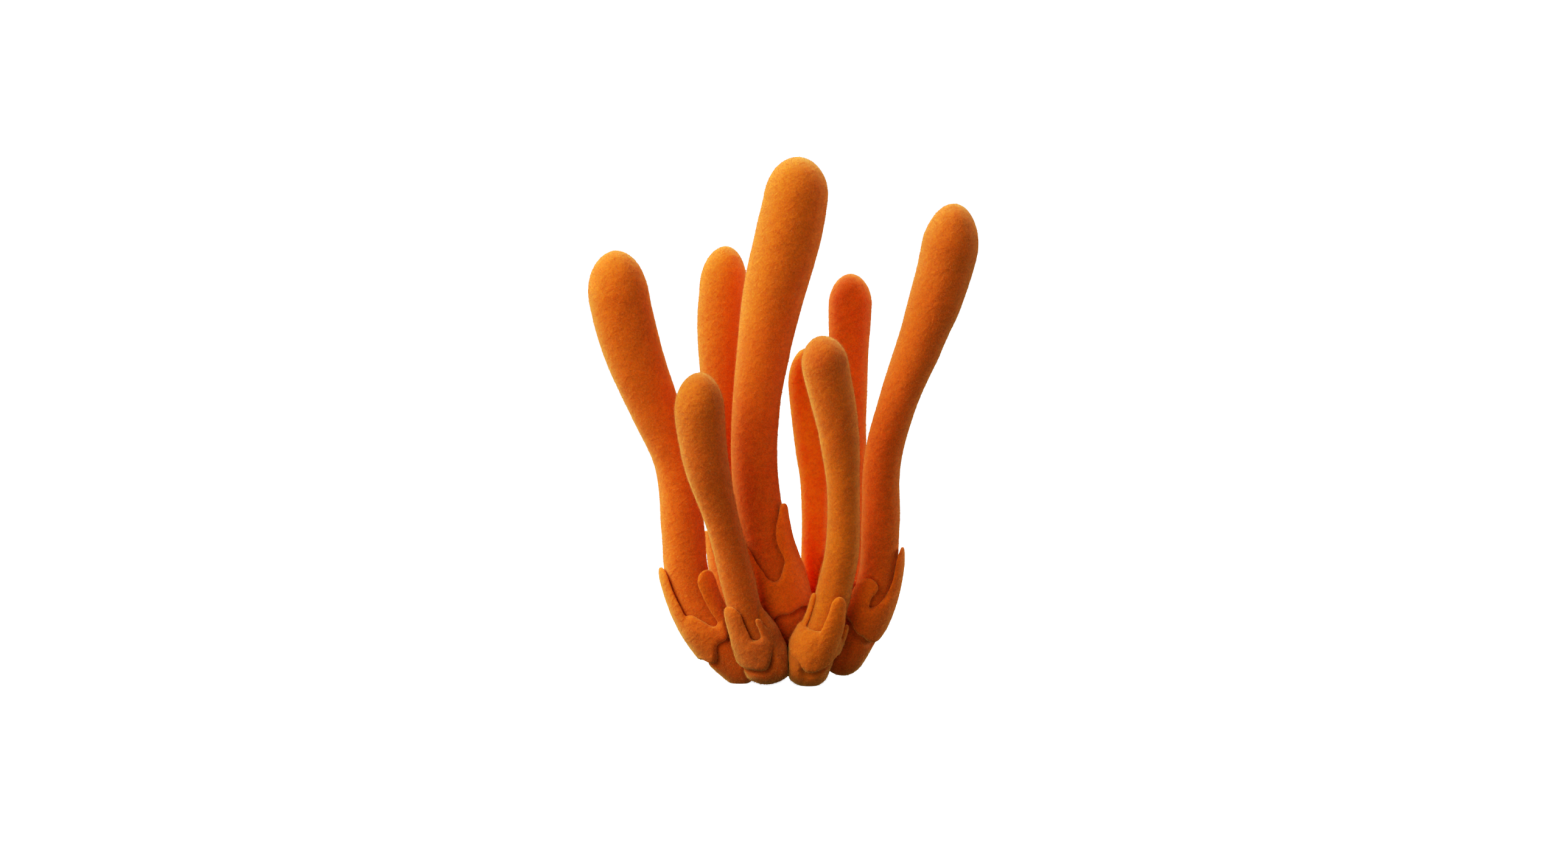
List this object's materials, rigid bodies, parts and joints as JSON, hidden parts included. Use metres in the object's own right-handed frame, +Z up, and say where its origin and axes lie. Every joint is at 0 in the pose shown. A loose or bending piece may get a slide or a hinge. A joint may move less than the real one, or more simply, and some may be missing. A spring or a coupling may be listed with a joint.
{
  "type": "cordyceps bunch",
  "caption": "Bunch of velvety orange cordyceps clubs with rounded heads, curved stalks and lobed sheaths round their swollen feet, cut off flat at the ground.",
  "frame": {"origin": "middle of the bunch's box, on the plane at which its feet are cut off flat", "axes": "+Z up along the clubs, +X to the right and -Y to the front as the bunch faces its viewer"},
  "size_m": [0.052, 0.0245, 0.07],
  "materials": {
    "club_orange": "matte velvet skin, orange",
    "club_ochre": "matte velvet skin, ochre orange to brown",
    "club_red": "matte velvet skin, red orange",
    "sheath_orange": "matte velvet skin, orange, paler along the rim",
    "sheath_ochre": "matte velvet skin, ochre orange to brown, paler along the rim",
    "sheath_red": "matte velvet skin, red orange, paler along the rim"
  },
  "bodies": {
    "root": {"club_left": "club_orange", "sheath_left": "sheath_orange", "club_back_left": "club_red", "sheath_back_left": "sheath_red", "club_centre": "club_orange", "sheath_centre": "sheath_orange", "club_front_left": "club_ochre", "sheath_front_left": "sheath_ochre", "club_front_right": "club_ochre", "sheath_front_right": "sheath_ochre", "club_back": "club_red", "sheath_back": "sheath_red", "club_back_right": "club_red", "sheath_back_right": "sheath_red", "club_right": "club_orange", "sheath_right": "sheath_orange"}
  },
  "joints": []
}
